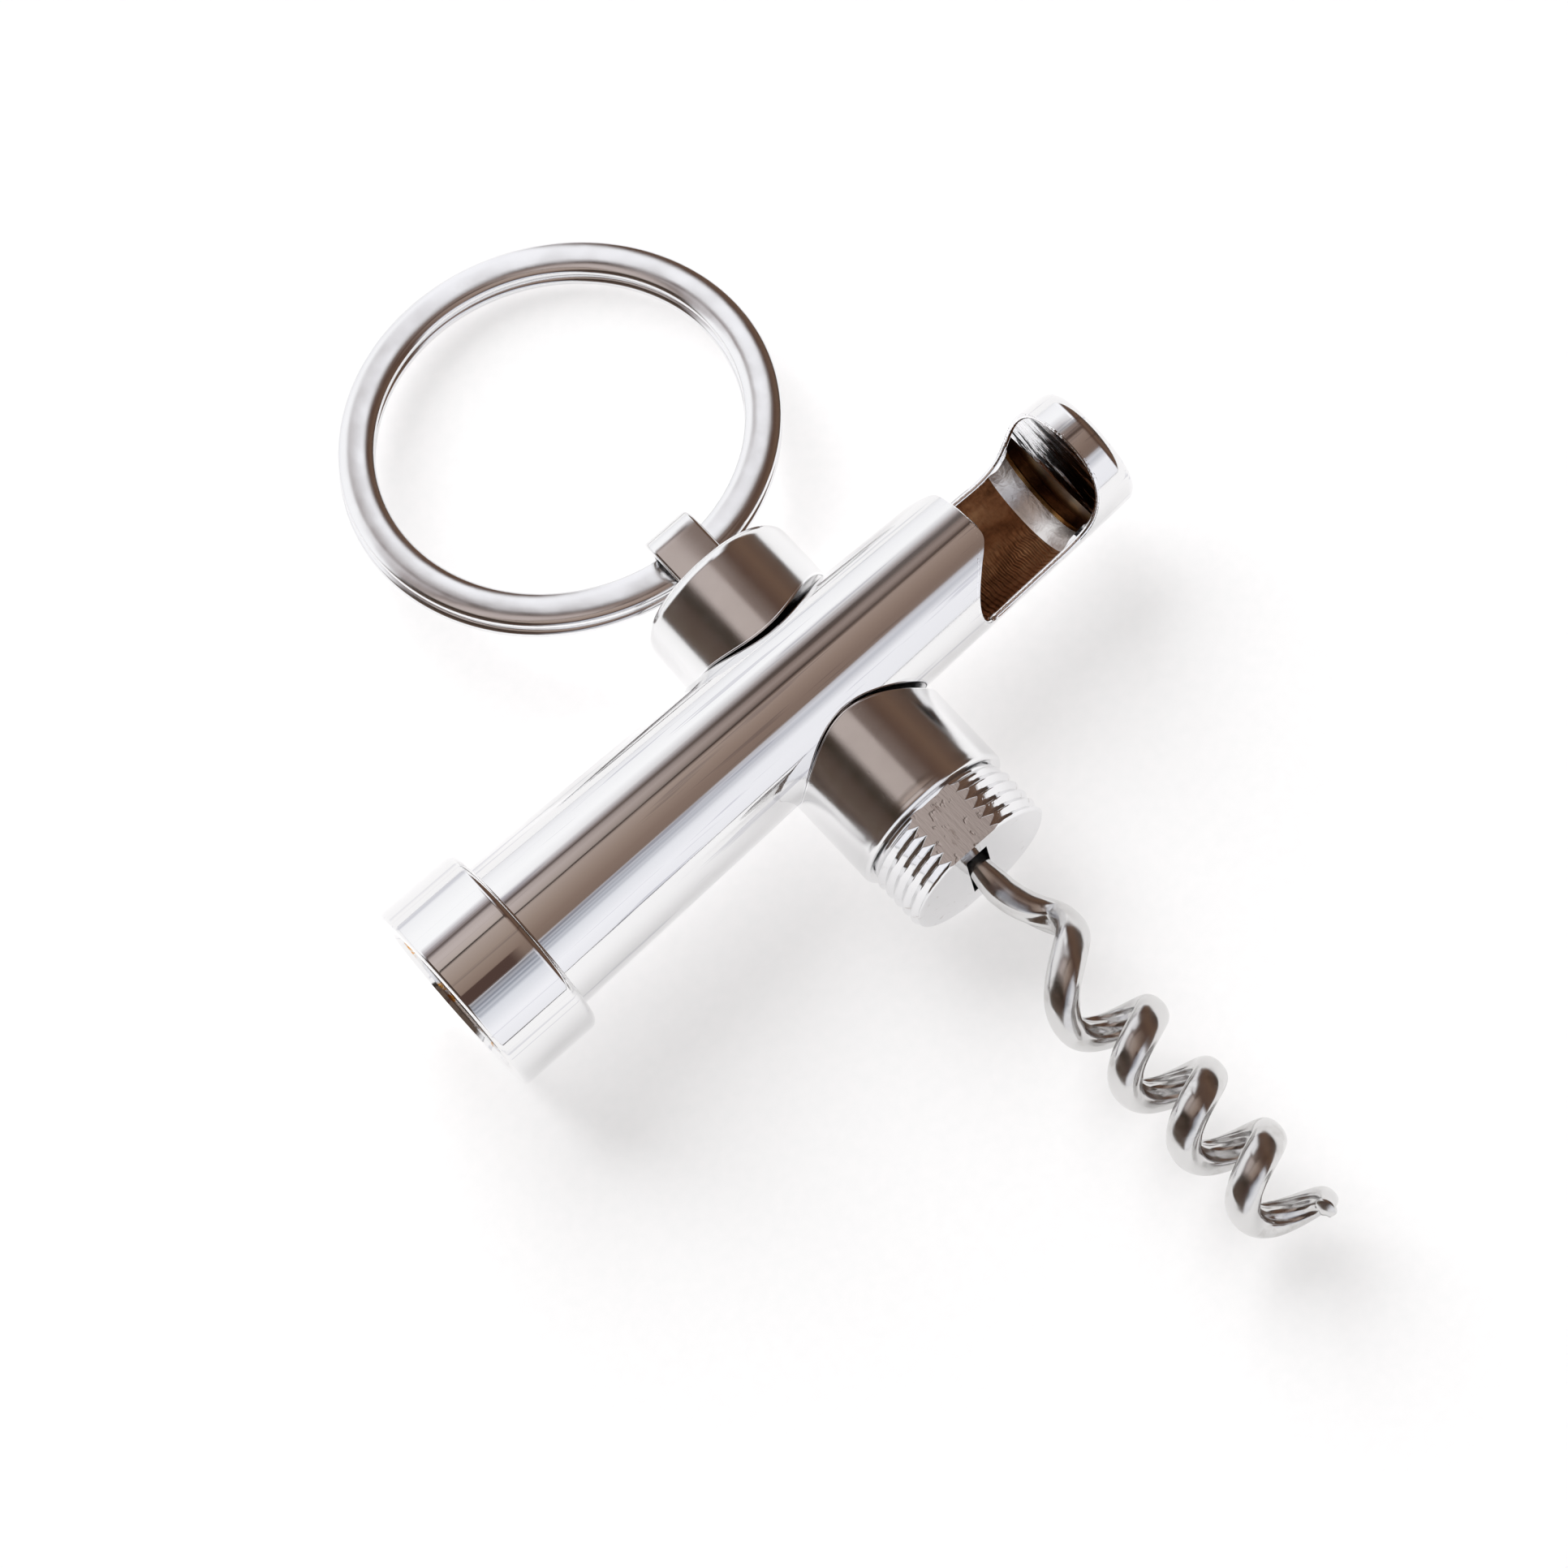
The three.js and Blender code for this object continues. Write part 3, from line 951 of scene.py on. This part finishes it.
# ---- bail ----
def make_bail(plating):
    low, high = local(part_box("ring_bail")[0]), local(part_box("ring_bail")[1])
    strap, bend = 1.05, 2.1
    middle = strap / 2
    top, bottom, end = high.z - middle, low.z + middle, high.y - middle
    start, turn = CAP_END - 0.4, bend - middle
    outline = [(start, top)] + arc((end - turn, top - turn), turn, 90, 0, 14)
    outline += arc((end - turn, bottom + turn), turn, 0, -90, 14) + [(start, bottom)]
    path = resample([(0, y, z) for y, z in outline], 0.15)
    frames = [
        (np.array([1.0, 0, 0]), np.cross(direction, [1.0, 0, 0]))
        for direction in np.gradient(path, axis=0) / np.linalg.norm(
            np.gradient(path, axis=0), axis=1)[:, None]
    ]
    half, corner = (high.x - low.x) / 2, 0.34
    section = []
    for sx, sy, first in ((1, 1, 0), (-1, 1, 90), (-1, -1, 180), (1, -1, 270)):
        section += arc((sx * (half - corner), sy * (middle - corner)), corner, first,
                       first + 90, 5)
    solid = swept(path, frames, lambda i: section)
    show("bail", solid, [plating], "corkscrew", "ring_bail")


# ---- split ring ----
def make_ring():
    tangent = Vector((RING_NORMAL.z, 0, -RING_NORMAL.x)).normalized()
    out = RING_NORMAL.cross(tangent)
    centre = RING_HINGE + out * RING_MIDDLE
    path, frames = [], []
    for swept_angle in np.linspace(0, 720 - RING_JOG, 520):
        angle = math.radians(RING_END_ANGLE + swept_angle)
        step = np.clip((swept_angle - 360 + RING_JOG) / RING_JOG, 0, 1)
        height = RING_LIFT * (0.5 - step * step * (3 - 2 * step))
        away = tangent * math.cos(angle) + out * math.sin(angle)
        skew = 0.12 * math.copysign(1, height)
        path.append(centre + away * RING_MIDDLE + RING_NORMAL * height + tangent * skew)
        frames.append((away, RING_NORMAL))
    half_width, half_thick = 1.6, 0.57
    section = []
    for turn in np.linspace(0, 2 * math.pi, 48, endpoint=False):
        c, s = math.cos(turn), math.sin(turn)
        section.append((math.copysign(abs(c) ** 0.68, c) * half_width,
                        math.copysign(abs(s) ** 0.76, s) * half_thick))
    solid = swept(path, frames, lambda i: section)
    show("key_ring", solid, [ring_nickel()], "key_ring", "split_ring")


# ---- studio ----
def only_seen_by(thing, *kinds):
    for kind in ("camera", "diffuse", "glossy", "transmission", "shadow", "volume_scatter"):
        setattr(thing, "visible_" + kind, kind in kinds)


def make_world():
    """A white room with a brown far end on both sides and a taupe ceiling over the table."""
    world = bpy.data.worlds.new("studio")
    bpy.context.scene.world = world
    world.use_nodes = True
    g = Graph(world.node_tree)
    direction = g.add("ShaderNodeTexCoord").outputs["Generated"]
    x, y, z = g.add("ShaderNodeSeparateXYZ", {0: direction}).outputs
    lean = g.math("ARCTAN2", y, z)

    def lean_at(degrees):
        return (degrees + 90) / 180
    turn = g.span(lean, -math.pi / 2, math.pi / 2)
    over_collar = g.ramp(turn, [
        (lean_at(a), srgb(*c)) for a, c in (
            (-90, (232, 232, 236)), (-70, (240, 240, 244)), (-51, (214, 216, 222)),
            (-48, (168, 171, 180)), (-46, (196, 198, 205)), (-43.5, (138, 142, 152)),
            (-41.5, (186, 188, 196)), (-39.5, (118, 121, 132)), (-37.5, (172, 173, 180)),
            (-35, (112, 112, 120)), (-33, (190, 188, 192)),
            (-31.5, (122, 104, 94)), (-20, (132, 113, 102)), (-5, (150, 133, 122)),
            (11.6, (168, 153, 145)), (12.2, (36, 28, 25)), (13.5, (36, 28, 25)),
            (14.1, (176, 163, 156)), (24, (186, 174, 170)), (30, (176, 164, 160)),
            (33.5, (100, 88, 82)), (36.5, (160, 150, 149)), (41, (204, 201, 204)),
            (45, (248, 248, 249)), (62, (247, 247, 248)), (80, (240, 240, 242)),
            (90, (228, 228, 231)),
        )])
    over_opener = g.ramp(turn, [
        (lean_at(a), srgb(*c)) for a, c in (
            (-90, (232, 232, 236)), (-55, (236, 236, 240)), (-48, (214, 214, 219)),
            (-42, (190, 191, 198)), (-38, (206, 206, 212)), (-33, (186, 184, 189)),
            (-31, (124, 106, 96)), (-20, (127, 108, 98)), (-5, (140, 121, 110)),
            (9, (152, 134, 124)), (11.5, (96, 80, 72)), (14, (58, 47, 42)),
            (17.5, (118, 102, 95)), (23, (140, 125, 118)), (28, (122, 106, 99)),
            (31, (78, 66, 60)), (36, (80, 69, 64)), (42, (148, 138, 136)),
            (50, (205, 203, 205)), (58, (246, 246, 247)), (80, (240, 240, 242)),
            (90, (228, 228, 231)),
        )])
    belt = g.mix(g.span(x, 0.1, 0.19, smoothly=True), over_collar, over_opener)
    pale = g.math("MULTIPLY", g.span(x, 0.22, 0.3), g.span(y, 0.42, 0.52))
    belt = g.mix(pale, belt, srgb(246, 246, 249))

    def across(value):
        return (value + 1) / 2
    side = g.ramp(g.span(x, -1, 1), [
        (across(v), srgb(*c)) for v, c in (
            (-1, (92, 79, 70)), (-0.76, (75, 61, 53)), (-0.62, (50, 42, 34)),
            (-0.45, (66, 54, 46)), (0.55, (83, 63, 53)), (0.8, (102, 80, 66)),
            (0.93, (88, 70, 60)), (1, (70, 58, 50)),
        )])
    overhead = g.ramp(g.span(x, -1, 1), [
        (across(v), (f, f, f)) for v, f in (
            (-0.49, 0), (-0.34, 1), (0.2, 1), (0.32, 0.7), (0.44, 0.3), (0.56, 0))])
    bright_ends = g.math("MULTIPLY", g.span(g.math("ABSOLUTE", y), 0.45, 0.6, smoothly=True),
                         g.span(x, 0.42, 0.52, 1, 0))
    colour = g.mix(g.math("MAXIMUM", overhead, bright_ends), side, belt)
    panel = g.math("MULTIPLY", g.span(x, 0.08, 0.11, 1, 0),
                   g.math("MULTIPLY", g.span(lean, math.radians(-33), math.radians(-32)),
                          g.span(lean, math.radians(-20.5), math.radians(-19.5), 1, 0)))
    low = g.span(z, 0.0, 0.05)
    panel = g.math("MULTIPLY", panel, low)
    colour = g.mix(panel, colour, srgb(78, 60, 54))
    # the table's far edge is a dark line at the horizon, thinner to the front and the back
    edge = g.span(g.math("ABSOLUTE", y), 0.3, 0.6, 0.05, 0.01)
    below = g.math("LESS_THAN", z, edge)
    colour = g.mix(g.math("MULTIPLY", below, g.span(y, 0.5, 0.8, 0.9, 0.25)), colour,
                   srgb(44, 40, 37))
    background = g.add("ShaderNodeBackground", {"Color": colour, "Strength": 1 / CHROME[0]})
    world.cycles_visibility.diffuse = False  # the floor is lit by the suns alone
    output = g.add("ShaderNodeOutputWorld")
    g.put(output.inputs["Surface"], background.outputs[0])


def make_sun(name, elevation, azimuth, spread, strength, colour=(1, 1, 1), shades=True):
    """A broad soft light that falls on the floor and leaves no mirror image in the plating."""
    light = bpy.data.lights.new(name, "SUN")
    light.use_shadow = shades
    light.energy, light.angle, light.color = strength, math.radians(spread), colour
    lamp = bpy.data.objects.new(name, light)
    up, turn = math.radians(elevation), math.radians(azimuth)
    toward = Vector((math.cos(up) * math.cos(turn), math.cos(up) * math.sin(turn), math.sin(up)))
    lamp.rotation_euler = toward.to_track_quat("Z", "Y").to_euler()
    bpy.context.scene.collection.objects.link(lamp)
    only_seen_by(lamp, "diffuse", "shadow")


def make_floor():
    size = 4.0
    mesh = bpy.data.meshes.new("floor")
    mesh.from_pydata([(-size, -size, FLOOR), (size, -size, FLOOR), (size, size, FLOOR),
                      (-size, size, FLOOR)], [], [(0, 1, 2, 3)])
    material = bpy.data.materials.new("white_paper")
    material.use_nodes = True
    g = Graph(material.node_tree)
    tone = g.span(g.noise((900, 900, 900), 3), 0.3, 0.7, 0.0, 1.0)
    shader = g.add("ShaderNodeBsdfPrincipled", {"Roughness": 1.0, "Specular IOR Level": 0.0})
    g.put(shader.inputs["Base Color"], g.mix(tone, (0.89, 0.89, 0.89), (0.91, 0.905, 0.905)))
    g.put(g.add("ShaderNodeOutputMaterial").inputs["Surface"], shader.outputs[0])
    mesh.materials.append(material)
    floor = bpy.data.objects.new("floor", mesh)
    bpy.context.scene.collection.objects.link(floor)


def make_backdrop():
    """A plain white wall round the table, seen only by the camera."""
    radius, height, sides = 3.6, 3.0, 64
    verts = [
        (radius * math.cos(a), radius * math.sin(a), z)
        for z in (FLOOR - 0.01, height)
        for a in np.linspace(0, 2 * math.pi, sides, endpoint=False)
    ]
    mesh = bpy.data.meshes.new("backdrop")
    mesh.from_pydata(verts, [], grid_faces(2, sides))
    material = bpy.data.materials.new("white_wall")
    material.use_nodes = True
    g = Graph(material.node_tree)
    glow = g.add("ShaderNodeEmission", {"Color": (1, 1, 1, 1), "Strength": 1.0})
    g.put(g.add("ShaderNodeOutputMaterial").inputs["Surface"], glow.outputs[0])
    mesh.materials.append(material)
    wall = bpy.data.objects.new("backdrop", mesh)
    bpy.context.scene.collection.objects.link(wall)
    only_seen_by(wall, "camera")


def make_camera():
    """Looks steeply down on the object, turned so that the sheath runs up to the right."""
    right = Vector((0.7471, -0.6560, -0.1076)).normalized()
    toward = Vector((-0.1255, -0.2982, 0.9462)).normalized()
    up = toward.cross(right).normalized()
    right = up.cross(toward)
    distance, focal_over_width = 0.53333, 8000 / 1932
    data = bpy.data.cameras.new("camera")
    data.sensor_width = 36.0
    data.lens = 36.0 * focal_over_width
    data.shift_x, data.shift_y = -0.01835, -0.0628
    data.clip_start, data.clip_end = 0.01, 20
    camera = bpy.data.objects.new("camera", data)
    axes = Matrix((right, up, toward)).transposed().to_4x4()
    camera.matrix_world = Matrix.Translation(ORIGIN + toward * distance) @ axes
    bpy.context.scene.collection.objects.link(camera)
    bpy.context.scene.camera = camera


def make_studio():
    make_world()
    make_sun("window", 37, 85, 55, 2.1, (1.0, 1.0, 1.01))
    make_sun("ceiling", 80, 90, 150, 0.6)
    make_sun("room", 90, 0, 5, 1.76, (1.0, 0.985, 0.98), shades=False)
    make_floor()
    make_backdrop()
    bpy.context.scene.view_settings.view_transform = "Standard"


make_camera()
plated = make_sheath()
make_collar(plated)
head_plating = make_head()
make_worm()
make_bail(head_plating)
make_ring()
make_studio()
